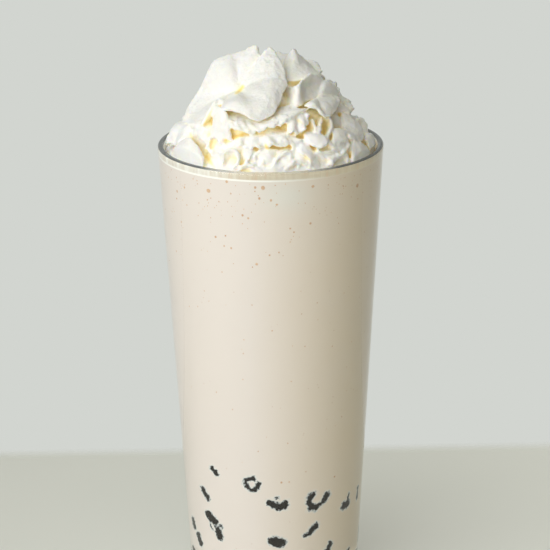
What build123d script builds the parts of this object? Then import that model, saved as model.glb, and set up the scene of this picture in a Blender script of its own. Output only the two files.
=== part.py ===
"""Bubble tea in a tall tapered tumbler: the glass, the milk tea in it and a piped heap of whipped cream.

The glass stands on z = 0 with its axis on Z, and every size is in millimetres. The tea fills the bore face
to face with the glass. The cream rests on the tea's level top, clear of the wall.
"""

from build123d import *
import os
from collections import namedtuple
from math import cos, pi, radians, sin

# Glass
rim_diameter = 84.0
foot_diameter = 64.0
glass_height = 175.0
wall = 2.3
base_thickness = 11.0
floor_corner_radius = 7.0
lip_radius = 0.9
foot_edge_radius = 1.8
punt_diameter = 48.0
punt_depth = 1.6
punt_edge_radius = 1.0

# Tea
lip_to_tea = 3.2

# Whipped cream
cream_wall_gap = 0.5
skirt_height = 2.0
skirt_slope = 0.3
petal_thickness = 2.5
petal_flare = 1.4
pleat_curl = 0.6
pleat_lift = 0.3
pleat_unevenness = 0.3
lean_left = 4.0
lean_back = 1.5
crown_radius = 1.5
crown_hollow = 4.5
points_per_pleat = 6

# A tier is one turn of the piping nozzle round the heap: a pleated ribbon standing on its edge.
#   base, tip: heights of its root and of its free edge over the tea
#   reach: how far out it stands, where the foot of the heap is 1
#   pleats, pleat_depth: how many pleats it has and how deep they are
#   petals, swing: how many wider petals it has and how far they swing in and out
#   tilt, turn: how much higher it stands on one side, and the angle of that side
Tier = namedtuple("Tier", "base tip reach pleats pleat_depth petals swing tilt turn")
tiers = [
    Tier(3.5, 9.2, 0.912, 17, 1.3, 4, 0.5, 0.6, 20),
    Tier(10.5, 17.5, 0.785, 14, 1.9, 3, 1.0, 1.2, 285),
    Tier(18.0, 26.0, 0.630, 10, 2.1, 3, 1.2, 1.2, 140),
    Tier(26.0, 34.0, 0.430, 6, 2.0, 2, 1.4, 1.2, 215),
    Tier(33.0, 39.2, 0.205, 3, 1.3, 1, 1.3, 0.6, 160),
]

tea_level = glass_height - lip_to_tea


def outer_radius(z):
    """Outside radius of the straight tapered wall at height z."""
    share = z / glass_height
    return (foot_diameter + (rim_diameter - foot_diameter) * share) / 2


def bore_radius(z):
    """Inside radius of the wall at height z."""
    return outer_radius(z) - wall


def revolved(points):
    """Solid of revolution about Z of an outline given as (radius, z) corners."""
    outline = Polyline(*[(r, 0, z) for r, z in points], close=True)
    return revolve(make_face(outline), Axis.Z)


def circle_edges(solid, radius, z):
    """The solid's round edges of that radius at height z."""
    circles = solid.edges().filter_by(GeomType.CIRCLE)
    return [e for e in circles if abs(e.radius - radius) < 1e-4 and abs(e.arc_center.Z - z) < 1e-4]


def make_glass():
    foot = foot_diameter / 2
    rim = rim_diameter / 2
    punt = punt_diameter / 2
    bore_foot = bore_radius(base_thickness)
    bore_rim = bore_radius(glass_height)
    glass = revolved([
        (0, punt_depth),
        (punt, punt_depth),
        (punt, 0),
        (foot, 0),
        (rim, glass_height),
        (bore_rim, glass_height),
        (bore_foot, base_thickness),
        (0, base_thickness),
    ])
    roundings = [
        (bore_foot, base_thickness, floor_corner_radius),
        (rim, glass_height, lip_radius),
        (bore_rim, glass_height, lip_radius),
        (foot, 0, foot_edge_radius),
        (punt, 0, punt_edge_radius),
        (punt, punt_depth, punt_edge_radius / 2),
    ]
    for radius, z, rounding in roundings:
        glass = fillet(circle_edges(glass, radius, z), rounding)
    return glass


def make_tea():
    bore_foot = bore_radius(base_thickness)
    tea = revolved([
        (0, base_thickness),
        (bore_foot, base_thickness),
        (bore_radius(tea_level), tea_level),
        (0, tea_level),
    ])
    return fillet(circle_edges(tea, bore_foot, base_thickness), floor_corner_radius)


def cream_foot_radius():
    """Radius of the foot of the heap, inside the wall at the tea's level."""
    return bore_radius(tea_level) - cream_wall_gap


def ring(tier, height, radius, strength):
    """A closed curve round the heap, pleated like the tier: strength is 0 for a circle, 1 for a free edge."""
    share = height / tiers[-1].tip
    centre_x = -lean_left * share**1.5
    centre_y = lean_back * share
    steps = points_per_pleat * max(t.pleats for t in tiers)
    points = []
    for i in range(steps):
        angle = 2 * pi * i / steps
        seam = angle - radians(tier.turn)
        pleat = tier.pleats * seam + 1.1 * sin(2 * seam) + 0.7 * sin(3 * seam)
        depth = tier.pleat_depth * (1 + pleat_unevenness * sin(4 * seam)) * strength
        swing = tier.swing * cos(tier.petals * seam) * strength
        tilt = tier.tilt * cos(seam) * strength
        r = radius + depth * sin(pleat) + swing
        turned = angle - pleat_curl * depth * cos(pleat) / radius
        z = tea_level + height + pleat_lift * depth * cos(pleat) + swing / 2 + tilt
        points.append(Vector(centre_x + r * cos(turned), centre_y + r * sin(turned), z))
    return Wire([Edge.make_spline(points, periodic=True)])


def ribbon_rings(tier):
    """The curves up a ribbon's outer face, over its free edge and down into the valley behind it."""
    rise = tier.tip - tier.base
    middle = tier.reach * cream_foot_radius()
    edge = middle + petal_flare
    return [
        ring(tier, tier.base, middle - petal_flare / 2, 0.4),
        ring(tier, tier.base + 0.55 * rise, middle, 0.8),
        ring(tier, tier.tip - petal_thickness / 4, edge, 1.0),
        ring(tier, tier.tip, edge - petal_thickness / 2, 1.0),
        ring(tier, tier.base + 0.65 * rise, middle - petal_thickness, 0.75),
    ]


def make_cream():
    rings = []
    for share in (0, 0.5, 1):
        height = skirt_height * share
        rings.append(ring(tiers[0], height, cream_foot_radius() - skirt_slope * height, 0.1 * share))
    for tier in tiers:
        rings.extend(ribbon_rings(tier))
    rings.append(ring(tiers[-1], tiers[-1].tip - crown_hollow, crown_radius, 0))
    return Solid.make_loft(rings)


os.makedirs("parts", exist_ok=True)
export_step(make_glass(), "parts/glass.step")
export_step(make_tea(), "parts/milk_tea.step")
export_step(make_cream(), "parts/whipped_cream.step")
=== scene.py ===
"""Looks of the bubble tea: clear tumbler, milk tea with tapioca pearls, and a heap of ruffled whipped cream.

Sizes are in millimetres in the row frame, with Z up and the foot on z = 0; -Y faces the camera. mm() turns them into
metres.
"""

import math
import random

import bmesh
import bpy
import numpy as np
from mathutils import Matrix, Vector, noise
from mathutils.bvhtree import BVHTree


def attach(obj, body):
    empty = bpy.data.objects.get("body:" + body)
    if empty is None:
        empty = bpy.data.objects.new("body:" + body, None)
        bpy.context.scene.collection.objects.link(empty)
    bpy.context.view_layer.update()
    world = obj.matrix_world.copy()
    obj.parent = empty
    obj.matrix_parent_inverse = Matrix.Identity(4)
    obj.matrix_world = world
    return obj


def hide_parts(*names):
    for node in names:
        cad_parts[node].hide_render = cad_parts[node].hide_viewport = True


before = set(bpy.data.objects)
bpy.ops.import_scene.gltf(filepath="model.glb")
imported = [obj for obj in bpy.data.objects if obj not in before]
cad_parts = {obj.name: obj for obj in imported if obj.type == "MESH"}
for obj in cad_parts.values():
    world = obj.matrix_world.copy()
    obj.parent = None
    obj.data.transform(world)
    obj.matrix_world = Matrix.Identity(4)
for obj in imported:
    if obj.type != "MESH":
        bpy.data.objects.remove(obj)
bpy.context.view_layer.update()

MM = 0.001

# Glass, as in the construction model
RIM_RADIUS = 42.0
FOOT_RADIUS = 32.0
HEIGHT = 175.0
WALL = 2.3
FLOOR = 11.0
CORNER = 7.0
LEVEL = 171.8
RIM_FLAT = 0.45  # depth below the lip within which the glass counts as the rim's flat

# Tea
INTO_WALL = 0.06  # how far it reaches into the glass, so that no gap shows
FILM_TOP = HEIGHT - 1.1  # where the film on the wall above the tea ends
TOUCH_FROM, TOUCH_TO = 12.6, 62.0  # heights between which pearls touch the wall
AROUND = 500  # columns of its mesh
FOAM = (-82.0, 166.0)  # angle and height of the middle of the pale foam under the rim
FOAM_SIZE = (14.0, 6.0)  # how far it spreads, in degrees and in height

# Pearls and bubbles
PEARLS = 46
PEARL_RADIUS = 4.4
PEARL_SPACING = 9.5
FAR = 9.0  # depth of milk where no pearl is near
SMALL_BUBBLES = 420

# Cream
LEAN = (-4.0, 1.0)  # how far its top stands off the glass's axis
HEAP = 40.0  # height over the tea
VOXEL = 0.46
FACES = 190000  # triangles it is thinned out to


def mm(*values):
    return tuple(v * MM for v in values)


def bore(z):
    return FOOT_RADIUS + (RIM_RADIUS - FOOT_RADIUS) * z / HEIGHT - WALL


# ---- meshes

def make_object(name, points, faces, smooth=True):
    mesh = bpy.data.meshes.new(name)
    mesh.from_pydata((np.asarray(points) * MM).tolist(), [], faces)
    mesh.update()
    if smooth:
        mesh.shade_smooth()
    thing = bpy.data.objects.new(name, mesh)
    bpy.context.scene.collection.objects.link(thing)
    return thing


def tube_faces(rings, columns):
    """Quads that join closed rings of points, then a cap on the first ring and one on the last."""
    faces = []
    for i in range(rings - 1):
        for j in range(columns):
            k = (j + 1) % columns
            faces.append((i * columns + j, i * columns + k, (i + 1) * columns + k, (i + 1) * columns + j))
    last = (rings - 1) * columns
    return faces + [tuple(reversed(range(columns))), tuple(range(last, last + columns))]


def joined(parts):
    """The points and faces of several (points, faces) as one."""
    points, faces, start = [], [], 0
    for p, f in parts:
        points.append(p)
        faces += [tuple(i + start for i in face) for face in f]
        start += len(p)
    return np.concatenate(points), faces


def read(collection, what, width, kind=float):
    """A property of all vertices or all edges, a row for each."""
    values = np.empty(len(collection) * width, dtype=kind)
    collection.foreach_get(what, values)
    return values.reshape(-1, width)


def move_points(mesh, points):
    mesh.vertices.foreach_set("co", points.ravel())
    mesh.update()


def apply_modifier(thing, kind, **settings):
    """Gives thing the mesh that a modifier makes of its own."""
    modifier = thing.modifiers.new(kind.lower(), kind)
    for key, value in settings.items():
        setattr(modifier, key, value)
    old = thing.data
    made = bpy.data.meshes.new_from_object(thing.evaluated_get(bpy.context.evaluated_depsgraph_get()))
    thing.modifiers.clear()
    thing.data = made
    bpy.data.meshes.remove(old)


def vertex_values(thing, name, values):
    layer = thing.data.attributes.new(name, "FLOAT", "POINT")
    layer.data.foreach_set("value", np.asarray(values, dtype=np.float32))


# ---- materials

class Nodes:
    """The node tree of a material or a world, with short calls to add and link nodes."""

    START = {"MATERIAL": ("Principled BSDF", "Material Output"), "WORLD": ("Background", "World Output")}

    def __init__(self, owner):
        owner.use_nodes = True
        self.owner = owner
        self.tree = owner.node_tree
        self.shader, self.output = (self.tree.nodes[name] for name in self.START[owner.id_type])

    def add(self, kind, links=None, **settings):
        node = self.tree.nodes.new(kind)
        for key, value in settings.items():
            setattr(node, key, value)
        for socket, source in (links or {}).items():
            self.feed(node, socket, source)
        return node

    def feed(self, node, socket, source):
        if isinstance(source, bpy.types.NodeSocket):
            self.tree.links.new(source, node.inputs[socket])
        else:
            node.inputs[socket].default_value = source

    def set(self, **values):
        for key, value in values.items():
            self.feed(self.shader, key.replace("_", " "), value)

    def coordinates(self):
        return self.add("ShaderNodeTexCoord").outputs["Object"]

    def place(self, where=None):
        """The x, y and z of a point, by name."""
        return self.add("ShaderNodeSeparateXYZ", {"Vector": where or self.coordinates()}).outputs

    def noise(self, scale, detail=3.0, roughness=0.5, vector=None):
        links = {"Vector": vector or self.coordinates(), "Scale": scale, "Detail": detail, "Roughness": roughness}
        return self.add("ShaderNodeTexNoise", links).outputs["Fac"]

    def value(self, name):
        return self.add("ShaderNodeAttribute", attribute_name=name).outputs["Fac"]

    def math(self, operation, *sources):
        node = self.add("ShaderNodeMath", operation=operation)
        for i, source in enumerate(sources):
            self.feed(node, i, source)
        return node.outputs[0]

    def ramp(self, source, stops):
        node = self.add("ShaderNodeValToRGB", {"Fac": source})
        elements = node.color_ramp.elements
        while len(elements) < len(stops):
            elements.new(0.5)
        for element, (position, colour) in zip(elements, stops):
            element.position = position
            element.color = (*colour, 1)
        return node.outputs["Color"]

    def slide(self, source, low, high):
        """source from low to high as 0 to 1, eased at both ends."""
        limits = {"Value": source, "From Min": low, "From Max": high}
        return self.add("ShaderNodeMapRange", limits, interpolation_type="SMOOTHSTEP").outputs[0]

    def mix(self, share, first, second, blend_type="MIX"):
        node = self.add("ShaderNodeMix", data_type="RGBA", blend_type=blend_type)
        self.feed(node, "Factor", share)
        for socket, colour in ((6, first), (7, second)):
            self.feed(node, socket, colour if isinstance(colour, bpy.types.NodeSocket) else (*colour, 1))
        return node.outputs[2]

    def mix_shaders(self, share, first, second):
        return self.add("ShaderNodeMixShader", {0: share, 1: first, 2: second}).outputs[0]

    def bump(self, height, strength, distance):
        node = self.add("ShaderNodeBump", {"Height": height, "Strength": strength, "Distance": distance})
        self.feed(self.shader, "Normal", node.outputs["Normal"])


def new_material(name):
    return Nodes(bpy.data.materials.new(name))


def srgb(*colour):
    """Linear colour of an sRGB colour given as 0 to 255."""
    return tuple(c / 255 / 12.92 if c / 255 <= 0.04045 else ((c / 255 + 0.055) / 1.055) ** 2.4 for c in colour)


NONE, FULL = (0, 0, 0), (1, 1, 1)


# ---- glass

def clear_glass():
    n = new_material("clear_glass")
    # painted reflection: the flat of the rim is painted grey towards the sides, where the eye looks along the wall,
    # standing in for the dark that the clear glass shows there
    place = n.place()
    top = n.math("GREATER_THAN", place["Z"], (HEIGHT - RIM_FLAT) * MM)
    sideways = n.ramp(n.math("MULTIPLY", n.math("ABSOLUTE", place["X"]), 1 / (RIM_RADIUS * MM)),
                      [(0.1, NONE), (0.6, FULL)])
    painted_rim_reflection = n.math("MULTIPLY", top, sideways)
    n.set(Base_Color=n.mix(painted_rim_reflection, (0.96, 0.98, 0.975), srgb(84, 89, 92)), Roughness=0.015, IOR=1.5,
          Transmission_Weight=n.math("MULTIPLY_ADD", painted_rim_reflection, -0.75, 1.0))
    n.bump(n.noise(90, 2), 0.04, 0.0004)
    # lamplight goes straight through to the tea
    ray = n.add("ShaderNodeLightPath").outputs
    see_through = n.math("MAXIMUM", ray["Is Shadow Ray"], ray["Is Diffuse Ray"])
    clear = n.add("ShaderNodeBsdfTransparent", {"Color": (0.95, 0.96, 0.955, 1)}).outputs[0]
    n.feed(n.output, "Surface", n.mix_shaders(see_through, n.shader.outputs[0], clear))
    return n.owner


def dress(node, material):
    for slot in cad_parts[node].material_slots:
        slot.material = material


# ---- tea and pearls

# Where a pearl touches the wall: angle in degrees (-90 is the front), height, and the black strokes that show there.
# A stroke is (across, up) from that place, its direction in degrees, length, width, and how far it bends in degrees.
TOUCHING = [
    (-131, 54, [(0, 0, -40, 2.6, 2, 15)]),
    (-141, 43, [(0, 0, -48, 4, 2.4, -10)]),
    (-104, 51.5, [(-1.6, -1.6, -45, 12.3, 1.6, 308)]),
    (-87, 43, [(-1.9, 0.3, -20, 3, 2.3, 30), (1.2, -0.6, 15, 2.4, 2.8, 40), (2.6, 0.5, 70, 1.6, 1.4, 0),
               (-0.8, 3, 10, 1.2, 0.6, 0)]),
    (-63, 43, [(-1.6, -0.8, -62, 9.2, 2, 190), (-0.2, -2.6, 0, 2, 2.4, 0)]),
    (-54, 43.5, [(0, 0, 52, 2.4, 2.3, -15)]),
    (-34, 37.5, [(-0.2, -0.6, 0, 1.8, 3.2, 0), (1.2, 1.8, 72, 2.6, 0.8, 0), (-2.2, -0.9, 0, 1.2, 1, 0)]),
    (-17, 38, [(0, 0, 85, 4, 1.4, 0)]),
    (-134, 31, [(-1.4, 2.6, -35, 3.4, 3.6, 20), (2, -3, -75, 2.4, 3, 0), (0.2, -0.4, -45, 2.4, 0.9, 0),
                (3.2, 0.3, -70, 1.8, 0.8, 0), (-1.6, -1.2, -60, 1.6, 0.7, 0)]),
    (-160, 25, [(0, 1.6, -72, 2.4, 2.8, 0)]),
    (-152, 22, [(0, -0.4, -62, 2.8, 3, 0)]),
    (-88, 27.5, [(-0.8, 0.2, -12, 1, 3.8, 0), (1, -0.2, 8, 0.8, 3.6, 0)]),
    (-64, 31, [(0.6, 0.6, 48, 3, 2.2, -20), (-2, -1.6, 20, 1.4, 1.2, 0)]),
    (-50, 21.5, [(0, 0, 62, 3, 2.2, 0)]),
    (-115, 22, [(0, -1, 0, 2.4, 2.4, 0)]),
    (-166, 13.5, [(0, 0, 90, 2, 1.6, 0)]),
]


def more_patches(rng):
    """Patches for the rest of the way round and low down, spaced like those in front."""
    lowest, middle, highest = 13, 30, 54
    patches = list(TOUCHING)
    tries = 0
    while len(patches) < PEARLS and tries < 4000:
        tries += 1
        height = rng.uniform(lowest, highest) if rng.random() < 0.8 else rng.uniform(lowest, middle)
        angle = rng.uniform(-180, 180)
        # the side that the photo shows has its own patches; only the lowest ones are added there
        if (angle > 165 or angle < 18) and height > 19:
            continue
        apart = [math.hypot(math.radians((angle - a + 180) % 360 - 180) * bore(h), height - h)
                 for a, h, *_ in patches]
        if min(apart) > PEARL_SPACING:
            direction, length, width = rng.uniform(-90, 90), rng.uniform(2, 8), rng.uniform(1.4, 2.8)
            patches.append((angle, height, [(0, 0, direction, length, width, rng.choice((0, 20, 180, 280)))]))
    return patches


def patch_depth(patch, angles, height):
    """How thick the milk is between a pearl and the wall, in mm or so: below 0 the pearl touches the wall."""
    angle, middle, strokes = patch
    across = np.radians((angles - angle + 180) % 360 - 180) * bore(middle)
    depth = np.full(len(angles), FAR)
    for right, up, turn, length, width, bend in strokes:
        turn, bend = math.radians(turn), math.radians(bend or 1)
        x = (across - right) * math.cos(turn) + (height - middle - up) * math.sin(turn)
        y = (height - middle - up) * math.cos(turn) - (across - right) * math.sin(turn)
        radius = length / bend
        # seen from the stroke's centre of curvature
        y = y - radius
        sweep = np.arctan2(x, -y * np.sign(radius))
        end = np.clip(sweep, -abs(bend) / 2, abs(bend) / 2)
        ex, ey = abs(radius) * np.sin(end), -radius * np.cos(end)
        depth = np.minimum(depth, np.hypot(x - ex, y - ey) - width / 2)
    return depth / 2


def tea_profile():
    """(radius, height) out along the floor, up the wall, over the meniscus and in to the axis."""
    slope = math.atan((RIM_RADIUS - FOOT_RADIUS) / HEIGHT)
    centre_z = FLOOR + CORNER
    centre_r = bore(centre_z) - CORNER / math.cos(slope)
    reach = CORNER + INTO_WALL
    profile = [(0.01, FLOOR - INTO_WALL)] + [(centre_r * k / 4, FLOOR - INTO_WALL) for k in range(1, 4)]
    for k in range(15):
        a = -math.pi / 2 + (math.pi / 2 - slope) * k / 14
        profile.append((centre_r + reach * math.cos(a), centre_z + reach * math.sin(a)))
    # fine steps where the patches are, coarse ones above
    z = profile[-1][1]
    for step, top in ((0.5, TOUCH_TO), (2.2, LEVEL - 2.2)):
        while z < top:
            z += step
            profile.append((bore(z) + INTO_WALL, z))
    # a film clings to the wall above the tea, then the meniscus comes down to its flat top
    profile += [(bore(z) + INTO_WALL, z) for z in (LEVEL - 0.4, LEVEL + 0.4, LEVEL + 1.2, FILM_TOP)]
    profile.append((bore(FILM_TOP) - 0.12, FILM_TOP))
    for k in range(9):
        d = 0.25 + 2.4 * (k / 8) ** 1.4
        profile.append((bore(LEVEL) - d, LEVEL + 1.1 * math.exp(-d / 0.6)))
    edge = profile[-1][0]
    return profile + [(edge * k / 6, LEVEL) for k in (5, 4, 3, 2, 1)] + [(0.01, LEVEL)]


def make_tea(patches):
    profile = tea_profile()
    angles = np.linspace(-180, 180, AROUND, endpoint=False)
    rings = []
    films = []
    for r, z in profile:
        rings.append(np.stack([r * np.cos(np.radians(angles)), r * np.sin(np.radians(angles)), np.full(AROUND, z)], 1))
        film = np.full(AROUND, FAR)
        if TOUCH_FROM < z < TOUCH_TO:
            for patch in patches:
                film = np.minimum(film, patch_depth(patch, angles, z))
        films.append(film)
    points = np.concatenate(rings)
    tea = make_object("milk_tea_fill", points, tube_faces(len(profile), AROUND))
    vertex_values(tea, "film", np.concatenate(films))
    turn = np.degrees(np.arctan2(points[:, 1], points[:, 0]))
    foam = np.exp(-((turn - FOAM[0]) / FOAM_SIZE[0]) ** 2 - ((points[:, 2] - FOAM[1]) / FOAM_SIZE[1]) ** 2)
    vertex_values(tea, "foam", foam)
    tea.data.materials.append(tea_material())
    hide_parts("milk_tea")
    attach(tea, "root")


def tea_material():
    n = new_material("milk_tea")
    where = n.coordinates()
    place = n.place(where)
    # left to right as 0 to 1, over 80 mm and over the middle 60 mm
    side, inner = (n.math("MULTIPLY_ADD", place["X"], 1 / (width * MM), 0.5) for width in (80, 60))
    # painted shade: the tea's base turns warmer and yellower towards the shaded right
    painted_shade_warmth = n.ramp(side, [(0.4, srgb(226, 216, 209)), (0.85, srgb(229, 212, 188))])
    cloud = n.mix(n.ramp(n.noise(22, 4, 0.6, where), [(0.3, NONE), (0.7, FULL)]), painted_shade_warmth, srgb(228, 218, 208))
    cloud = n.mix(0.6, cloud, painted_shade_warmth)
    # tea dust, too fine for its own mesh
    cells = n.add("ShaderNodeTexVoronoi", {"Vector": where, "Scale": 420.0})
    dot = n.ramp(cells.outputs["Distance"], [(0.05, FULL), (0.13, NONE)])
    sparse = n.ramp(n.noise(130, 1, 0.5, where), [(0.60, NONE), (0.66, FULL)])
    speck = n.math("MULTIPLY", n.math("MULTIPLY", dot, sparse), 0.45)
    body = n.mix(speck, cloud, srgb(190, 152, 122))
    # the streaky film on the wall above the tea, its colour painted by how the light falls: white on the lit left, tan
    # in the middle, pale where shaded
    streaks = n.noise(1.0, 3, 0.6, n.add("ShaderNodeMapping", {"Vector": where, "Scale": (420, 420, 60)}).outputs[0])
    tan = n.ramp(streaks, [(0.3, srgb(212, 182, 150)), (0.42, srgb(205, 191, 166)), (0.6, srgb(215, 203, 180)),
                           (0.72, srgb(232, 228, 220))])
    painted_lit_film = n.ramp(streaks, [(0.3, srgb(212, 200, 184)), (0.5, srgb(229, 224, 214)), (0.65, srgb(244, 242, 237))])
    rightward = n.ramp(inner, [(0.1, NONE), (0.4, FULL)])
    shaded = n.ramp(side, [(0.6, NONE), (0.9, (0.6, 0.6, 0.6))])
    film_tone = n.mix(rightward, painted_lit_film, n.mix(shaded, tan, srgb(246, 232, 206)))
    over = n.math("MULTIPLY_ADD", place["Z"], 1 / (4 * MM), -(LEVEL - 0.6) / 4)
    body = n.mix(n.math("GREATER_THAN", over, 0.1), body, film_tone)
    # the bright line of the meniscus is a painted highlight, and fades towards the shaded right
    line = n.ramp(over, [(0.0, NONE), (0.05, FULL), (0.16, FULL), (0.24, NONE)])
    painted_highlight_fade = n.ramp(inner, [(0.5, FULL), (0.85, (0.12, 0.12, 0.12))])
    body = n.mix(n.math("MULTIPLY", line, painted_highlight_fade), body, srgb(248, 245, 239))
    foam = n.mix(n.math("MULTIPLY", n.value("foam"), 0.6), body, srgb(224, 224, 216))
    # milk thins to a cool pale edge over a pearl that touches the wall, and the pearl shows black
    ragged = n.math("MULTIPLY", n.math("SUBTRACT", n.noise(750, 6, 0.78, where), 0.5), 2.4)
    near = n.math("MULTIPLY_ADD", n.math("ADD", n.value("film"), ragged), 0.5, 0.5)
    pale = n.ramp(near, [(0.50, srgb(112, 122, 130)), (0.53, srgb(186, 193, 195)), (0.60, srgb(224, 221, 214))])
    cover = n.ramp(near, [(0.55, NONE), (0.8, FULL)])
    touch = n.ramp(near, [(0.495, FULL), (0.515, NONE)])
    black = n.mix(n.noise(420, 3, 0.6, where), srgb(6, 5, 5), srgb(44, 38, 34))
    n.set(Base_Color=n.mix(touch, n.mix(cover, pale, foam), black), Roughness=0.3, Specular_IOR_Level=0.15)
    return n.owner


def make_pearls(patches, rng):
    """Chewy spheres, each a little out of round, pressed against the wall just behind their patches."""
    ball = bmesh.new()
    bmesh.ops.create_icosphere(ball, subdivisions=3, radius=1.0)
    ball.verts.index_update()
    sphere = np.array([v.co[:] for v in ball.verts])
    faces = [tuple(v.index for v in f.verts) for f in ball.faces]
    ball.free()
    parts = []
    for angle, height, _ in patches:
        angle = math.radians(angle)
        radius = PEARL_RADIUS * rng.uniform(0.93, 1.07)
        shift = Vector((rng.random() * 50, 0, height))
        lumps = np.array([noise.noise(Vector(p) * 1.3 + shift) for p in sphere.tolist()])
        wall_z = max(height, FLOOR + radius)
        reach = bore(wall_z) - radius - 0.25
        middle = (reach * math.cos(angle), reach * math.sin(angle), wall_z)
        parts.append((sphere * (radius * (1 + 0.06 * lumps))[:, None] + middle, faces))
    pearls = make_object("tapioca_pearls", *joined(parts))
    n = new_material("tapioca")
    colour = n.ramp(n.noise(300, 3), [(0.35, srgb(26, 20, 18)), (0.75, srgb(58, 42, 34))])
    n.set(Base_Color=colour, Roughness=0.18, Coat_Weight=0.3)
    n.bump(n.noise(500, 2), 0.2, 0.0003)
    pearls.data.materials.append(n.owner)
    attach(pearls, "root")


# The bubbles against the wall that show in the photo: angle, height, radius.
BUBBLES = [
    (-124, 166.4, 0.9), (-141, 165.4, 0.45), (-113, 170.8, 0.55), (-94, 169.3, 0.75), (-98, 169.3, 0.5),
    (-96, 165.2, 0.45), (-90, 164.5, 0.45), (-87, 162.8, 0.5), (-105, 158.5, 0.45), (-102, 157.5, 0.45),
    (-146, 151.3, 0.4), (-39, 165.6, 0.75), (-68, 168.8, 0.6), (-69, 154.8, 0.5), (-148, 162.8, 0.5),
    (-149, 159.8, 0.4), (-140, 158.8, 0.3), (-125, 162.8, 0.3), (-118, 162.8, 0.25), (-111, 166.4, 0.3),
    (-38, 160.3, 0.3), (-80, 148.3, 0.3), (-121, 149, 0.5), (-115, 150, 0.35), (-112, 145.5, 0.4),
    (-116, 146, 0.35), (-98, 140, 0.55), (-91, 143.5, 0.4), (-86, 144.5, 0.35), (-80, 153.5, 0.4),
    (-78, 152, 0.35), (-71, 107, 0.3), (-53, 105, 0.3), (-90, 114, 0.3), (-79, 93.5, 0.3), (-43, 75, 0.3),
    (-81, 68.5, 0.25), (-154, 138.5, 0.4), (-107, 104.5, 0.25), (-64, 123.5, 0.25), (-85, 52.5, 0.45),
    (-80, 52.5, 0.35), (-47, 51, 0.45), (-69, 56, 0.25),
]


def make_bubbles(rng):
    """Flat bubbles in the tea's skin, tan against the milk: the placed ones and a scatter of smaller ones."""
    places = list(BUBBLES)
    for _ in range(SMALL_BUBBLES):
        # most lie close under the rim, the rest anywhere
        height = rng.uniform(60, 165) if rng.random() < 0.3 else 170.5 - min(rng.expovariate(1 / 9), 100)
        places.append((rng.uniform(-180, 180), height, rng.uniform(0.12, 0.27)))
    rows, columns, bulge = 7, 10, 0.12
    parts = []
    for angle, height, radius in places:
        turn = math.radians(angle)
        side = Vector((-math.sin(turn), math.cos(turn), 0))
        out = Vector((math.cos(turn), math.sin(turn), 0))
        middle = out * (bore(height) + 0.02) + Vector((0, 0, height))
        tall = radius * rng.uniform(0.85, 1.3)
        points = []
        for i in range(rows):
            polar = math.pi * (i + 1) / (rows + 1)
            for j in range(columns):
                a = 2 * math.pi * j / columns
                points.append(middle + side * (radius * math.sin(polar) * math.cos(a))
                              + Vector((0, 0, tall * math.sin(polar) * math.sin(a))) + out * (bulge * math.cos(polar)))
        parts.append((np.array(points), tube_faces(rows, columns)))
    bubbles = make_object("tea_bubbles", *joined(parts))
    n = new_material("tea_bubble")
    n.set(Base_Color=n.ramp(n.noise(300, 2), [(0.35, srgb(200, 160, 124)), (0.7, srgb(222, 192, 160))]), Roughness=0.4)
    bubbles.data.materials.append(n.owner)
    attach(bubbles, "root")


# ---- cream

def lean(h):
    """How far the heap's axis has moved at a height over the tea."""
    share = min(max(h / HEAP, 0), 1)
    return LEAN[0] * share ** 1.5, LEAN[1] * share


def smooth_line(points, count):
    """count points on a Catmull-Rom curve through the given ones."""
    p = np.asarray(points, float)
    p = np.concatenate([[2 * p[0] - p[1]], p, [2 * p[-1] - p[-2]]])
    u = np.linspace(0, len(p) - 3, count)
    i = np.minimum(u.astype(int), len(p) - 4)
    t = (u - i)[:, None]
    a, b, c, d = p[i], p[i + 1], p[i + 2], p[i + 3]
    return 0.5 * (2 * b + (c - a) * t + (2 * a - 5 * b + 4 * c - d) * t**2 + (3 * b - a - 3 * c + d) * t**3)


def unit(v):
    return v / np.maximum(np.linalg.norm(v, axis=-1, keepdims=True), 1e-9)


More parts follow.
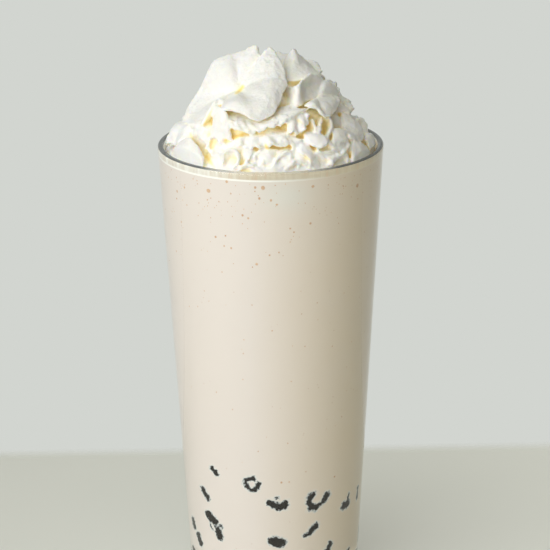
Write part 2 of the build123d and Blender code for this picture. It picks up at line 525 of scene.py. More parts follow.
def sheet(lines, thick=(3.2, 1.4), ruffles=0.0, depth=0.0, phase=0.0, candy=0.0, crisp=0.3):
    """A closed sheet through lines of (x, y, height over the tea), from its buried root to its free edge.

    ruffles and depth wave the free edge, candy folds those waves back on themselves, and crisp crinkles the edge.
    """
    across, up = 84, 17
    rows = np.stack([smooth_line(line, across) for line in lines])
    mid = np.stack([smooth_line(rows[:, k], up) for k in range(across)])
    u = np.linspace(0, 1, across)[:, None, None]
    v = np.linspace(0, 1, up)[None, :, None]
    along = unit(np.gradient(mid, axis=0))
    rise = unit(np.gradient(mid, axis=1))
    out = unit(np.cross(along, rise))
    # the ruffles grow towards the free edge and die out at both ends
    wave = 2 * math.pi * ruffles * u + phase
    grow = v ** 1.4
    fade = np.minimum(1, 6 * np.minimum(u, 1 - u))
    mid = mid + out * depth * grow * fade * np.sin(wave)
    mid = mid + along * candy * depth * grow * fade * np.sin(2 * wave)
    mid = mid + rise * 0.35 * depth * grow * fade * np.cos(wave * 1.7)
    # crinkles of two sizes
    crinkle = np.array([[noise.noise_vector(Vector(p) * 0.55) + 0.6 * noise.noise_vector(Vector(p) * 1.3) for p in row]
                        for row in mid.tolist()])
    mid = mid + 1.3 * crisp * v ** 2 * crinkle
    out = unit(np.cross(unit(np.gradient(mid, axis=0)), unit(np.gradient(mid, axis=1))))
    half = (thick[0] * (1 - v) + thick[1] * v) / 2 * (0.4 + 0.6 * np.minimum(1, 9 * np.minimum(u, 1 - u)))
    front, back = mid + out * half, mid - out * half
    points = np.concatenate([front.reshape(-1, 3), back.reshape(-1, 3)])
    n = across * up
    faces = []
    for i in range(across - 1):
        for j in range(up - 1):
            a, b, c, d = i * up + j, (i + 1) * up + j, (i + 1) * up + j + 1, i * up + j + 1
            faces += [(a, b, c, d), (n + d, n + c, n + b, n + a)]
    border = [(i, 0) for i in range(across)] + [(across - 1, j) for j in range(1, up)]
    border += [(i, up - 1) for i in range(across - 2, -1, -1)] + [(0, j) for j in range(up - 2, 0, -1)]
    ids = [i * up + j for i, j in border]
    for a, b in zip(ids, ids[1:] + ids[:1]):
        faces.append((b, a, n + a, n + b))
    return points, faces


def ribbon(edge, inward=4, drop=3, thick=(1.9, 1.0), **shape):
    """A narrow sheet under a wandering free edge: its root lies nearer the axis and lower, and wanders less."""
    sag = 0.8
    edge = smooth_line(edge, 3 * len(edge))
    calm = edge.copy()
    for _ in range(3):
        calm[1:-1] = (calm[:-2] + calm[1:-1] + calm[2:]) / 3
    root = calm.copy()
    for k, (x, y, h) in enumerate(calm):
        cx, cy = lean(h)
        away = math.hypot(x - cx, y - cy)
        root[k] = (x - (x - cx) * inward / away, y - (y - cy) * inward / away, h - drop)
    middle = 0.35 * root + 0.65 * edge + (0, 0, sag)
    return sheet([root, middle, edge], thick, **shape)


def flower(centre, rim, **shape):
    """A funnel of one sheet round a deep centre: rim points are (x, y, height, how far the petal swells there)."""
    centre = np.array(centre, float)
    edge = np.array([r[:3] for r in rim], float)
    swell = np.array([r[3] for r in rim], float)[:, None] * np.array([0.0, -0.8, 0.6])
    steps = ((0.1, 0), (0.35, 0.8), (0.7, 0.9), (1.0, 0.0))
    return sheet([centre + share * (edge - centre) + much * swell for share, much in steps], **shape)


def lump(x, y, h, radius):
    """A soft uneven ball."""
    rows, columns = 16, 24
    middle = Vector((x, y, h))
    points = []
    for i in range(rows):
        polar = math.pi * (i + 0.1) / (rows - 0.8)
        for j in range(columns):
            turn = 2 * math.pi * j / columns
            ray = Vector((math.sin(polar) * math.cos(turn), math.sin(polar) * math.sin(turn), math.cos(polar)))
            points.append(middle + ray * radius * (1 + 0.16 * noise.noise(ray * 1.4 + middle)))
    return np.array(points), [tuple(reversed(f)) for f in tube_faces(rows, columns)]


def core():
    """What the petals stand on: a lumpy leaning dome, well inside the outermost folds."""
    profile = [(38.9, 0.0), (38.5, 1.2), (36.2, 3.5), (33.2, 7.5), (29.4, 12.0), (24.6, 17.0), (17.5, 21.5),
               (10.8, 26.0), (6.2, 30.5), (2.6, 33.0), (0.2, 33.5)]
    rows, columns = 50, 90
    points = []
    for r, _, h in smooth_line([(r, 0, h) for r, h in profile], rows):
        cx, cy = lean(h)
        for j in range(columns):
            a = 2 * math.pi * j / columns
            place = Vector((r * math.cos(a), r * math.sin(a), h))
            swell = 1 + min(h / 4, 1) * 1.6 * noise.noise(place * 0.17) / max(r, 8)
            points.append((cx + place.x * swell, cy + place.y * swell, h))
    return np.array(points), tube_faces(rows, columns)


# The big funnel-shaped fold on top: its deep centre, then its rim as (x, y, height over the tea, swelling).
FUNNEL_CENTRE = (-11.6, -9.8, 24)
FUNNEL_RIM = [
    # the notch and the two small peaks at the top
    (-3.2, -4, 36.6, 0.9), (-1.6, -4, 38.9, 1.3), (0.2, -3.5, 39.9, 1.8),
    # the lobe that comes round on the right and hangs forward
    (2.5, -5, 37.8, 2.4), (4.6, -9, 35, 3), (6.1, -14, 31, 3.6), (5.6, -19.5, 28.4, 4.4), (3.4, -25.5, 24.6, 5),
    (1, -29, 21.4, 5.2), (-4.5, -31, 19.8, 5), (-9, -30.4, 21.4, 4.4), (-13.4, -28.8, 22.8, 3.4),
    (-17.2, -26.4, 22.8, 1.6),
    # the notch beside it, and the lobe low on the left
    (-17.2, -20, 24, -1.5), (-20, -19.6, 23.8, -0.4), (-22.4, -22, 20.6, 1.8), (-24.4, -23, 17, 3.2),
    (-25.2, -21.5, 14.9, 3.8), (-28.8, -15.5, 13.4, 3.8), (-31.4, -8.5, 12.8, 3), (-31.2, -5, 16.2, 2.4),
    # the straight back up to the summit
    (-28, -4, 21.5, 0.8), (-24.8, -3, 26.5, 1.2), (-21.2, -1, 33.4, 1.8), (-16.2, 0, 36.4, 2),
    (-11.8, 0, 37.4, 1), (-7.8, 0, 38.8, 1.8), (-4.8, -1, 40.4, 1.4), (-3.2, -4, 36.6, 0.9),
]

# Two smaller ones on the right.
FAN_CENTRE = (15.9, -16.2, 23)
FAN_RIM = [
    (18, -13, 24.2, 0.3), (19.8, -12, 24.2, 0.6), (21.8, -10, 23.6, 0.8), (24.9, -7, 21.8, 1),
    (25.2, -10, 21.1, 1.4), (23.9, -16.2, 19.8, 1.8), (21.5, -21.5, 18.6, 1.6), (19.3, -23.8, 19.4, -0.3),
    (17.1, -24.8, 21.8, 1.5), (14.7, -25.4, 22.8, 1.7), (11.8, -25.2, 23.6, 1.4),
]
CUP_CENTRE = (25.2, -13.5, 12)
CUP_RIM = [
    (26, -9, 17, 0.2), (28.4, -8.8, 15.8, 0.6), (31.9, -8.5, 12.5, 1.7), (34.1, -10.5, 9.3, 2.2),
    (33.8, -13.4, 7.8, 2.4), (32, -17.4, 7.6, 2.2), (29.6, -20.4, 9.8, 1.6), (28.2, -20.8, 11.6, 0.6),
]

# Broad folds in front, each as lines from its root to its free edge.
FOLDS = [
    # behind on the right, with its peak
    dict(lines=[[(4, -9, 27), (9, -10, 27.5), (13, -8, 28), (17, -4, 28), (19.5, 0, 25.5)],
                [(4.8, -5, 30), (9, -5, 32), (12, -4, 31.3), (16, -1, 29.5), (19.8, 1, 26)],
                [(4.8, -1, 32.4), (7, 1, 35.4), (9, 2, 38.2), (11.3, 3, 35), (14.4, 4, 31), (17.6, 4, 28.4),
                 (20.2, 3, 25.8)]],
         thick=(5, 1.2), ruffles=2, depth=0.4, crisp=0.4),
    # the pleat in front of it: a bright face to the left of its ridge, a shaded one to the right
    dict(lines=[[(5.5, -15, 20), (9.4, -21, 22.4), (12, -17.5, 22.5), (15.5, -13.5, 22), (18.5, -10, 21.5)],
                [(5.8, -12, 24), (9.8, -21, 25.8), (11.6, -14.2, 26.5), (14.6, -9.8, 26.5), (18.5, -6, 25.5)],
                [(6.3, -11, 26.8), (10, -19, 29.4), (12.2, -13.6, 30.8), (15.4, -8.8, 31.4), (19.4, -4.4, 28.4)]],
         thick=(3.4, 1)),
    dict(lines=[[(16.5, -13, 22.5), (20, -8.5, 22.5), (24, -4, 19.5)],
                [(18.5, -8.5, 26), (21.5, -5, 24.8), (24.6, -2.5, 21.2)],
                [(20, -3.5, 28), (22, -2, 26.4), (23.4, -1, 24.6), (25.2, 0, 22)]], thick=(3.4, 1.3)),
    # the long ruffle across the middle, and the crinkled lobe it ends in
    dict(lines=[[(-15.5, -19, 20), (-10, -22, 19.5), (-3, -23, 20), (4, -22, 21), (10, -19.5, 22)],
                [(-16.5, -23, 19.6), (-12, -26.6, 18.2), (-5, -28, 17.6), (3, -28, 19.4), (10, -24, 22)],
                [(-16.8, -25.4, 20), (-15, -28.4, 18), (-11.7, -30.4, 16.2), (-7.3, -31, 15.2), (-2.9, -31.2, 16.2),
                 (1, -31.2, 17.8), (4.9, -30.2, 18.6), (8.2, -28.6, 20.2), (11.5, -26, 22.2), (13.7, -24.5, 21.6)]],
         thick=(3.6, 1.2), ruffles=11, depth=0.55, phase=1, crisp=0.6),
    dict(lines=[[(6, -23, 18.5), (10, -21, 19.5), (13.5, -19, 20)],
                [(6, -27.5, 18.8), (10, -26, 19.4), (14, -23, 20.4)],
                [(5.8, -30, 17.4), (7, -31.2, 15.2), (9.8, -30.6, 14.6), (12, -29, 15.8), (13.2, -27.5, 18),
                 (14.4, -25, 20.6)]], thick=(3.4, 1), ruffles=3, depth=0.8, crisp=0.5),
    # the smooth fold at the left end of the ruffle
    dict(lines=[[(-19.2, -20.4, 22.4), (-17.2, -23, 22.2), (-15, -25, 19.8)],
                [(-20.4, -22.4, 16.8), (-17.6, -26.4, 16.8), (-14.2, -28.6, 15.6)],
                [(-21.2, -22.8, 12.4), (-18.6, -27.4, 12), (-13.3, -30.2, 12.4)]], thick=(3.6, 1.5), ruffles=1.5,
         depth=0.8, phase=2.2, crisp=0.45),
    # the narrow bright fold under the long ruffle
    dict(lines=[[(-12.5, -25.5, 13), (-5, -27, 13.5), (2, -27.5, 14), (8, -26.5, 14), (12, -25, 14)],
                [(-13, -29, 12.6), (-6, -31, 12.4), (2, -31.4, 13.2), (9, -30, 13)],
                [(-13.5, -30.8, 11), (-8, -32.8, 9.8), (-2.3, -33.4, 10.4), (2.7, -33.4, 11.4), (7.6, -32.4, 11.2),
                 (12, -31, 12.2)]], thick=(3.4, 1), ruffles=4.5, depth=1, phase=2, candy=0.3, crisp=0.7),
    # left shoulder: two rounded steps down to the rim, then the broad bright petal over the wall
    dict(lines=[[(-31, 2, 9.5), (-30, -5, 12), (-28, -11, 12.8), (-24, -17, 13)],
                [(-35.6, -2, 9.2), (-33.6, -8.5, 11), (-29.8, -13.5, 11.4), (-25.2, -18.8, 11.6)],
                [(-38.6, -2, 3.6), (-36.6, -9, 5.2), (-32.6, -15, 6.4), (-27, -20.6, 8.4)]],
         thick=(4, 1.2), ruffles=2.5, depth=0.9, phase=1, crisp=0.5),
    dict(lines=[[(-36.4, -13.5, 0.4), (-32.5, -20.8, 1.2), (-27, -27.6, 1.6), (-24.2, -30, 2.2)],
                [(-35.4, -15.8, 4.2), (-31.2, -22, 6.4), (-27, -27, 6.2), (-24, -30, 4.4)],
                [(-34, -15.2, 6.6), (-29.4, -20.6, 10.8), (-26.2, -25.2, 8.8), (-23.6, -29, 5.4)]],
         thick=(4, 1.2), crisp=0.25),
    dict(lines=[[(-27.5, -15, 9), (-24, -19, 9), (-21.5, -22, 7)],
                [(-28.2, -17.6, 12.6), (-25, -21.4, 12.8), (-21.8, -25, 10)],
                [(-27.6, -19.8, 11.4), (-24.6, -23.6, 10.6), (-22, -27, 6.8)]], thick=(3.2, 1), ruffles=1.5,
         depth=0.6, crisp=0.5),
    # right-hand shoulder, stepped down to the rim
    dict(lines=[[(20, -10, 17), (23, -7, 16), (25, -4, 14)],
                [(23.5, -9, 18.6), (26.5, -7, 16.6), (27.5, -6, 14)],
                [(25, -5, 19.2), (28.4, -5, 17), (29, -9, 15.4), (26, -14, 13.4)]], thick=(4, 1.3), crisp=0.35),
    dict(lines=[[(29.5, -5, 7), (31, -3.5, 7), (33, -5, 4)],
                [(30.6, -5, 10), (33, -2.6, 10), (35, -4.6, 6)],
                [(30.7, -3.5, 12), (33.2, -1, 13), (34.8, -1, 11.6), (35.7, -2, 9.6), (36.1, -4.6, 7.2)]],
         thick=(3, 1), crisp=0.4),
    dict(lines=[[(32, -10, 4), (34, -6, 5), (34.5, 0, 4)],
                [(34.6, -11, 6.6), (36.2, -6.5, 6.8), (36.8, -1, 5.6)],
                [(36.4, -12, 3.4), (38, -6.5, 3.4), (38.4, -1, 2)]], thick=(3, 1.2), ruffles=2, depth=0.4, crisp=0.5),
    dict(lines=[[(29.2, -25, 0.6), (33, -20, 0.8), (36.6, -13, 0.4)],
                [(29.2, -24.4, 4.4), (32.8, -19.8, 4.8), (35.8, -14.4, 2.8)],
                [(29, -21.6, 7.8), (31, -19, 8.2), (33, -17, 7.4), (35.4, -14, 4.6), (36.9, -12, 1.4)]],
         thick=(3, 1), crisp=0.25),
    # the lit face behind the loops, and the flat tongue under them
    dict(lines=[[(22.6, -22, 12.8), (24, -21, 13.4), (26.6, -19, 12.3), (28.2, -18.6, 10.6)],
                [(22.2, -25, 11.8), (24.6, -24.4, 11.6), (27.4, -21.6, 11)],
                [(21.8, -28.4, 10.6), (23.6, -28, 9.8), (25.8, -25.8, 9.9), (28, -22.8, 10.2)]], thick=(2.2, 1.2),
         crisp=0.15),
    dict(lines=[[(11.5, -25.5, 12.4), (15.5, -25.5, 12.4), (19, -25, 11.6)],
                [(12, -29, 13.4), (16, -29.8, 13.4), (19.8, -28.6, 12.4)],
                [(12.4, -31.2, 12.6), (14.4, -32.3, 11.2), (17.6, -32.9, 9.8), (20, -32, 10.8), (20.9, -30, 12.2)]],
         thick=(2.4, 1.3), crisp=0.2),
    # the two long diagonal folds right of the middle, down to the wall
    dict(lines=[[(6, -26.5, 12), (10, -26.5, 10), (14, -26, 5), (16, -27, 1)],
                [(7, -30.5, 12.4), (11.6, -30.6, 11), (15.2, -30.5, 6.6), (17.6, -31, 2.4)],
                [(7.5, -32.5, 10.6), (10.4, -33.4, 8.6), (14, -34, 4.6), (16, -34.4, 1.2)]], thick=(3.2, 1.1),
         ruffles=1.5, depth=0.9, crisp=0.5),
    dict(lines=[[(11, -24, 13), (15.5, -23, 11.5), (20, -22, 7), (23, -23, 3)],
                [(12, -28.4, 14), (16.6, -28.2, 12.2), (20.6, -27.4, 8.6), (24.4, -26.6, 4.6)],
                [(12.6, -31, 12.6), (16.4, -31.4, 9.6), (20, -31, 5.8), (22.6, -30.4, 2.8)]], thick=(3.2, 1.1),
         ruffles=1.5, depth=0.9, phase=2.5, crisp=0.5),
]

# Curls, loops and small ruffles, each as the wandering line of its free edge.
CURLS = [
    # the upright loops right of the middle that double back on themselves
    dict(edge=[(13.2, -25, 17.7), (15.1, -24, 18.2), (16, -26, 16.7), (16.9, -29, 14.7), (17.9, -28, 15.4),
         (18.4, -24, 17), (19, -21.5, 18.3), (20.6, -20, 18), (22.2, -20, 17), (22.5, -22.5, 15.2),
         (21.5, -26, 13.7), (20.6, -28.5, 12.2), (21.7, -29.5, 10.4), (23.5, -28.6, 9.5), (25.8, -26, 9.6),
         (27.8, -23, 10.3), (29, -20.5, 10.1)], inward=5, drop=6, thick=(1.8, 1.1), crisp=0.12),
    dict(edge=[(17, -33, 8.6), (21.7, -30.8, 7.9), (24.9, -28.2, 8.2), (27.2, -25.2, 9), (28, -23.6, 9.5),
         (28.7, -24.6, 8.5), (27.6, -26.6, 7.7), (25.6, -28.6, 6.1), (23.5, -30, 6)], inward=4.5, drop=4.5,
         thick=(1.8, 1), crisp=0.2),
    # the crumpled one on the left, above the broad petal
    dict(edge=[(-23.6, -27, 8.2), (-23, -25, 11), (-20.4, -26.4, 12.6), (-17.8, -28.6, 11.6),
         (-16.6, -30.6, 8.8), (-18.4, -31, 7)], inward=4.5, drop=4, ruffles=2, depth=0.7, crisp=0.6),
    dict(edge=[(-21.6, -28.4, 6), (-20, -29.4, 8.4), (-17.6, -30.8, 7.6), (-17, -32, 5)], thick=(1.9, 1.1),
         crisp=0.5),
    # along the rim, from the left
    dict(edge=[(-17.3, -33.6, 4.2), (-17, -33.2, 8), (-14.6, -33.6, 9.6), (-12.2, -34.4, 8.6),
         (-11.8, -35.6, 5.6), (-13.6, -36.2, 3.4)], inward=3.4, thick=(1.8, 1), crisp=0.15),
    dict(edge=[(-12, -32, 8.6), (-9.6, -31.6, 11), (-7.2, -32.2, 10.6), (-7.6, -34.4, 7.6), (-10, -36, 4.4)],
         drop=3.5, thick=(1.9, 1.1), crisp=0.2),
    dict(edge=[(-6.2, -34.8, 5), (-5.4, -33.8, 7.6), (-2.8, -33.2, 9), (-0.6, -33.6, 8.4), (-1.2, -35, 6.4),
         (-3.6, -36, 4.8), (-1.4, -36.6, 3.2)], inward=3.4, thick=(1.6, 0.9), crisp=0.35),
    dict(edge=[(1.4, -37, 3), (1.8, -36, 5.8), (4.2, -34.8, 8.2), (7.6, -33.6, 8.6), (6.8, -35, 5.8),
         (3.4, -36.8, 3.2)], inward=3, thick=(1.6, 1), crisp=0.15),
    dict(edge=[(7.6, -33, 9.4), (9.6, -32.6, 8.2), (10.6, -33.6, 5.4), (10, -35.4, 3)], inward=3.4,
         thick=(1.8, 1), crisp=0.3),
    dict(edge=[(-12.4, -36.8, 2.2), (-9, -36.4, 4.6), (-5.4, -36.6, 3.8), (-3.6, -37.2, 2)], inward=3,
         thick=(1.9, 1.1), crisp=0.2),
    dict(edge=[(4.8, -37.2, 2.4), (8.2, -35.8, 5.2), (12, -34.6, 5), (15.4, -34.4, 2.2)], thick=(2.4, 1.3),
         crisp=0.35),
    dict(edge=[(21.2, -31, 3), (22.4, -29.6, 5.8), (25.2, -27.4, 7.2), (28, -25.4, 4.8), (28.2, -26, 2.4)],
         inward=3, crisp=0.2),
    dict(edge=[(-3.4, -31.4, 9.6), (-1, -32.6, 8), (1.6, -32.8, 9.4), (4, -32.6, 8.4), (6.4, -31.8, 10)],
         drop=4, crisp=0.5),
    dict(edge=[(-14.4, -30, 8.6), (-12, -31, 7), (-9.6, -32, 8.2), (-7, -32.4, 7)], drop=4, crisp=0.5),
]


# Soft lumps that fill the pockets between the folds: x, y, height over the tea, radius.
LUMPS = [
    (-18, -17, 15, 5), (-22.5, -19, 9, 5), (-16.5, -25.5, 6.5, 5), (-12, -27.5, 8.5, 4.6), (-7, -30, 6, 4.4),
    (-1, -30.5, 5.5, 4.6), (5, -30.2, 5.5, 4.6), (10.5, -28.6, 6.5, 4.8), (15.5, -26.6, 6, 4.6),
    (20.5, -23.5, 6.5, 4.8), (-23, -18.5, 13.5, 4.4), (-14.5, -24.5, 13, 3.6), (26, -18.5, 5, 4.6),
    (-10, -23.5, 13.5, 5), (0, -25.5, 12.5, 5), (8, -23.5, 13.5, 5), (15.5, -17, 15, 4.5), (21, -12.5, 14, 4.5),
    (7, -11, 23, 5), (-3, -12, 24, 6), (2, -16, 20, 6),
]


def back_petals(rng):
    """Folds for the sides and back, in rings like those in front, drawn at random round the heap."""
    made = []
    rings = [  # root radius, root height, edge radius, edge height, width in degrees, first and last angle
        (30, 3, 36.2, 7.5, 34, 8, 164),
        (26, 7, 32.5, 13.5, 42, 10, 158),
        (21, 13, 28, 20, 50, 12, 144),
        (15, 20, 22.5, 27.5, 58, 15, 142),
        (9, 26, 14, 32, 68, 20, 138),
        # smaller ones on the left, where the funnel's rim hides them from in front
        (27, 5, 31.5, 8.5, 26, 160, 194),
        (22, 10, 26.0, 15, 30, 152, 190),
        (17, 16, 20.5, 21, 34, 140, 188),
        (11, 22, 14.5, 26.5, 40, 136, 186),
    ]
    for root_r, root_h, edge_r, edge_h, width, first, last in rings:
        angle = first
        while angle < last - 0.6 * width:
            span = min(width * rng.uniform(0.75, 1.2), last - angle)
            r0, h0 = root_r * rng.uniform(0.95, 1.03), root_h + rng.uniform(-1, 1)
            r1, h1 = edge_r * rng.uniform(0.95, 1.03), edge_h + rng.uniform(-1.6, 1.6)
            root, edge = [], []
            for k in range(5):
                a = math.radians(angle + span * k / 4)
                rise = 2.0 * math.sin(math.pi * k / 4)
                cx, cy = lean(h1)
                root.append((cx + r0 * math.cos(a), cy + r0 * math.sin(a), h0 + rise))
                edge.append((cx + r1 * math.cos(a), cy + r1 * math.sin(a), h1 + rise * rng.uniform(0.3, 1.2)))
            swell = rng.uniform(-0.6, 1.6)
            middle = [((x0 + x1) / 2, (y0 + y1) / 2, (z0 + z1) / 2 + swell)
                      for (x0, y0, z0), (x1, y1, z1) in zip(root, edge)]
            made.append(dict(lines=[root, middle, edge], thick=(rng.uniform(4, 6), rng.uniform(1.3, 2.0)),
                             ruffles=rng.choice((1.5, 2.5, 4, 6)), depth=rng.uniform(0.5, 1.5),
                             phase=rng.uniform(0, 6.28), candy=rng.choice((0, 0.2, 0.45))))
            angle += span * 0.78
    return made


def relax(mesh):
    """A smoothing step, then a slightly smaller swelling one, so that thin edges round without shrinking away."""
    p, ends = read(mesh.vertices, "co", 3), read(mesh.edges, "vertices", 2, np.int64)
    n = len(p)
    degree = np.bincount(ends.ravel(), minlength=n)[:, None]
    for step in (0.5, -0.45):
        total = np.zeros_like(p)
        for k in range(3):
            total[:, k] = np.bincount(ends[:, 0], p[ends[:, 1], k], n) + np.bincount(ends[:, 1], p[ends[:, 0], k], n)
        p = p + step * (total / degree - p)
    move_points(mesh, p)


def roughen(mesh):
    """Small lumps and fine crinkles, as whipped cream has, kept clear of the glass."""
    p, normal = read(mesh.vertices, "co", 3), read(mesh.vertices, "normal", 3)
    push = np.array([0.22 * noise.noise(Vector(a) * 0.33) + 0.10 * noise.noise(Vector(a) * 0.9)
                     for a in (p / MM).tolist()])
    p = p + normal * push[:, None] * MM
    limit = (bore(LEVEL) - 0.45) * MM
    p[:, :2] *= np.minimum(1, limit / np.maximum(np.hypot(p[:, 0], p[:, 1]), 1e-9))[:, None]
    move_points(mesh, p)


def hollows(mesh):
    """For each vertex, how closed in it is, 0 to 1: the share of rays that meet the mesh, near hits counting more."""
    reach, rays, lift = 8.0 * MM, 24, 0.3 * MM
    tree = BVHTree.FromPolygons([v.co for v in mesh.vertices], [p.vertices for p in mesh.polygons])
    golden = math.pi * (3 - 5 ** 0.5)
    directions = []
    for k in range(rays):
        z = (k + 0.5) / rays
        s = (1 - z * z) ** 0.5
        directions.append(Vector((s * math.cos(k * golden), s * math.sin(k * golden), z)))
    closed = []
    for vertex in mesh.vertices:
        turn = vertex.normal.to_track_quat("Z", "Y")
        start = vertex.co + vertex.normal * lift
        hits = [tree.ray_cast(start, turn @ d, reach) for d in directions]
        closed.append(sum(1 - 0.6 * hit[3] / reach for hit in hits if hit[0] is not None) / rays)
    # smoothed over the edges
    ends = read(mesh.edges, "vertices", 2, np.int64)
    ends = np.concatenate([ends, ends[:, ::-1]])
    degree = np.bincount(ends[:, 0])
    closed = np.array(closed)
    for _ in range(3):
        closed = 0.4 * closed + 0.6 * np.bincount(ends[:, 0], closed[ends[:, 1]]) / degree
    return closed


# Narrow deep places in front where light is painted in as a yellow glow: from (across, up) to (across, up) as the
# camera sees them, half width, strength. Up counts from where the tea's middle shows.
PAINTED_CREASE_LIGHT = [
    (-15, 19, -12.5, 20.5, 1, 0.35), (-12, 20.8, -9.9, 23.6, 0.9, 0.75), (-24, 8.8, -20.9, 14.6, 0.9, 0.6),
    (-31, 10, -24.8, 8.2, 0.4, 0.45), (-29.2, 6, -28.3, 3.6, 0.6, 0.5), (-13.2, 3.4, -10.2, 4.2, 0.8, 0.6),
    (-1.7, 0.2, -1.2, -0.8, 0.7, 0.9), (-23, -3.4, -20.2, -8, 0.8, 0.5), (-10.4, -9.4, -7.6, -9.6, 1, 0.5),
    (10.2, 9.6, 11.8, 8.2, 0.8, 0.5), (-2.6, -7.4, -0.4, -8, 0.8, 0.4), (12.6, -3.6, 14.6, -6, 0.7, 0.5),
]


def painted_crease_light(mesh):
    """How much painted yellow crease light each vertex gets from PAINTED_CREASE_LIGHT."""
    slope = 0.33  # the camera looks down, so what lies farther back shows higher up
    x, y, z = read(mesh.vertices, "co", 3).T / MM
    up = z - LEVEL + slope * y
    total = np.zeros(len(x))
    for x0, up0, x1, up1, width, strength in PAINTED_CREASE_LIGHT:
        right, rise = x1 - x0, up1 - up0
        along = np.clip(((x - x0) * right + (up - up0) * rise) / math.hypot(rise, right) ** 2, 0, 1)
        apart = np.hypot(x - x0 - along * right, up - up0 - along * rise)
        total += 0.75 * strength * np.exp(-(apart / width) ** 2) * (y < 0)
    return total


def cream_material():
    n = new_material("whipped_cream")
    where = n.coordinates()
    painted_hollow_light = n.value("painted_hollow_light")
    # painted light and shade: open faces are painted greyer and darker, the hollows brighter and then yellow, standing
    # in for light that bounces and scatters inside the cream
    tone = n.ramp(painted_hollow_light, [(0.05, srgb(231, 231, 229)), (0.3, srgb(245, 244, 239)), (0.46, srgb(251, 245, 226)),
                           (0.64, srgb(248, 235, 190)), (0.85, srgb(240, 217, 144))])
    # painted light: the deepest hollows glow a faint yellow of their own, standing in for light scattered through the
    # cream
    painted_glow = n.ramp(painted_hollow_light, [(0.4, NONE), (0.95, (0.10, 0.08, 0.032))])
    grain = n.ramp(n.noise(500, 3, 0.6, where), [(0.3, (0.965, 0.965, 0.965)), (0.7, FULL)])
    n.set(Base_Color=n.mix(1.0, tone, grain, "MULTIPLY"), Roughness=0.42, Subsurface_Weight=0.7,
          Subsurface_Scale=0.001, Subsurface_Radius=(1.0, 0.8, 0.5), Specular_IOR_Level=0.35,
          Emission_Color=painted_glow, Emission_Strength=1.0)
    n.bump(n.math("ADD", n.noise(900, 4, 0.65, where), n.noise(260, 2, 0.5, where)), 0.5, 0.0007)
    return n.owner


def make_cream(rng):
    """Everything that makes up the heap, in one skin."""
    parts = [core(), flower(FUNNEL_CENTRE, FUNNEL_RIM, thick=(4.0, 1.2), crisp=0.4),
             flower(FAN_CENTRE, FAN_RIM, thick=(2.6, 1.0), crisp=0.4),
             flower(CUP_CENTRE, CUP_RIM, thick=(2.8, 0.9), crisp=0.5)]
    parts += [sheet(**fold) for fold in FOLDS] + [ribbon(**curl) for curl in CURLS]
    parts += [lump(*place) for place in LUMPS] + [sheet(**fold) for fold in back_petals(rng)]
    points, faces = joined(parts)
    points[:, 2] = np.maximum(points[:, 2], 0.0) + LEVEL
    cream = make_object("whipped_cream_heap", points, faces)
    apply_modifier(cream, "REMESH", mode="VOXEL", voxel_size=VOXEL * MM)
    relax(cream.data)
    triangles = sum(len(p.vertices) - 2 for p in cream.data.polygons)
    if triangles > FACES:
        apply_modifier(cream, "DECIMATE", ratio=FACES / triangles)
    roughen(cream.data)
    vertex_values(cream, "painted_hollow_light", hollows(cream.data) + painted_crease_light(cream.data))
    cream.data.shade_smooth()
    cream.data.materials.clear()
    cream.data.materials.append(cream_material())
    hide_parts("whipped_cream")
    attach(cream, "root")


# ---- stage, lights and camera

WALL_TONE = srgb(210, 213, 208)
DIM_ROOM = (0.12, 0.13, 0.14)
AMBIENT = (0.98, 0.93, 0.73)


def make_stage():
    """A pale table whose far edge lies a little behind the glass."""
    near, far, side, slant, blur = -1600, 133, 1500, 28, 12
    points = [(-side, near, 0), (side, near, 0), (side, far + slant, 0), (-side, far - slant, 0)]
    floor = make_object("table", points, [(0, 1, 2, 3)], smooth=False)
    n = new_material("table")
    # painted light: some of its tone glows, standing in for the light of a whole room that would fill the shadow, more
    # so to the right where the glass's shadow falls
    tone = n.ramp(n.noise(4, 3), [(0.3, srgb(182, 184, 179)), (0.7, srgb(186, 188, 183))])
    place = n.place()
    painted_glow = n.add("ShaderNodeMapRange", {"Value": place["X"], "From Min": -150 * MM, "From Max": 150 * MM,
                                        "To Min": 0.29, "To Max": 0.53}).outputs[0]
    n.set(Base_Color=tone, Roughness=0.7, Emission_Color=(*srgb(200, 201, 192), 1), Emission_Strength=painted_glow)
    # the far edge is out of focus in the photo: the last millimetres fade into the wall
    behind = n.math("MULTIPLY_ADD", place["X"], -slant / side, place["Y"])
    fade = n.slide(behind, (far - blur) * MM, far * MM)
    clear = n.add("ShaderNodeBsdfTransparent").outputs[0]
    n.feed(n.output, "Surface", n.mix_shaders(fade, n.shader.outputs[0], clear))
    floor.data.materials.append(n.owner)


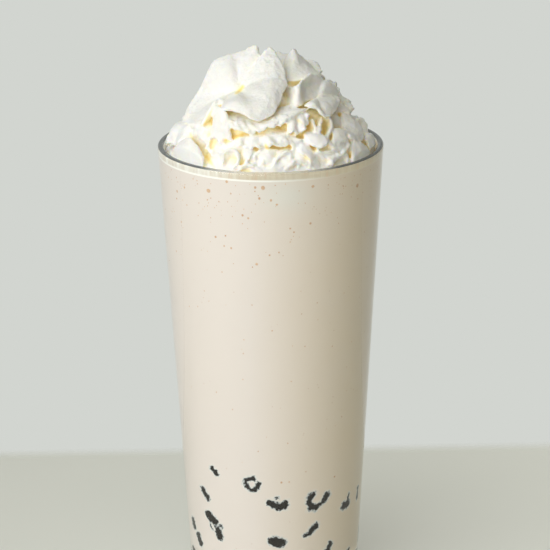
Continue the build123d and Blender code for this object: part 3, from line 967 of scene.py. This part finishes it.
def make_world():
    """Warm low light all round; the camera sees the wall's tone, and glass mirrors that wall behind and a dim room."""
    n = Nodes(bpy.data.worlds.new("studio"))
    bpy.context.scene.world = n.owner

    def background(colour, strength=1.0):
        return n.add("ShaderNodeBackground", {"Color": (*colour, 1), "Strength": strength}).outputs[0]

    ray = n.add("ShaderNodeLightPath").outputs
    front_to_back = n.slide(n.place(n.add("ShaderNodeTexCoord").outputs["Generated"])["Y"], -0.5, 0.5)
    room = n.mix_shaders(front_to_back, background(DIM_ROOM), background(WALL_TONE))
    bent = n.math("MAXIMUM", ray["Is Glossy Ray"], ray["Is Transmission Ray"])
    lit = n.mix_shaders(bent, background(AMBIENT, 0.22), room)
    n.feed(n.output, "Surface", n.mix_shaders(ray["Is Camera Ray"], lit, background(WALL_TONE)))


def softbox(name, place, target, size, power, colour):
    light = bpy.data.lights.new(name, "AREA")
    light.shape = "RECTANGLE"
    light.size, light.size_y = size[0] * MM, size[1] * MM
    light.energy, light.color = power, colour
    thing = bpy.data.objects.new(name, light)
    bpy.context.scene.collection.objects.link(thing)
    thing.location = mm(*place)
    thing.rotation_euler = (Vector(mm(*target)) - thing.location).to_track_quat("-Z", "Y").to_euler()


def make_camera():
    """The view of the photograph: from in front and a little above, through a long lens."""
    distance, elevation, roll = 950, math.radians(18.29), math.radians(-0.502)
    target = Vector((1.21, 0, 123.1))
    back = Vector((0, -math.cos(elevation), math.sin(elevation)))
    data = bpy.data.cameras.new("camera")
    data.lens, data.sensor_width = 164.63, 36
    camera = bpy.data.objects.new("camera", data)
    bpy.context.scene.collection.objects.link(camera)
    turn = back.to_track_quat("Z", "Y").to_matrix() @ Matrix.Rotation(roll, 3, "Z")
    camera.matrix_world = Matrix.Translation((target + back * distance) * MM) @ turn.to_4x4()
    data.clip_start, data.clip_end = 0.01, 50
    bpy.context.scene.camera = camera


bpy.context.scene.view_settings.view_transform = "Standard"
make_camera()
make_world()
make_stage()
softbox("key", (-530, -800, 350), (0, 0, 110), (1050, 560), 6.6, (0.985, 0.98, 1.0))
softbox("overhead", (-350, -310, 980), (0, 0, 100), (1050, 1000), 6.1, (0.985, 1.0, 0.95))

# without a seed, noise_vector gives something else on each run
noise.seed_set(5)
chance = random.Random(7)
patches = more_patches(chance)
dress("glass", clear_glass())
make_tea(patches)
make_pearls(patches, chance)
make_bubbles(chance)
make_cream(random.Random(11))
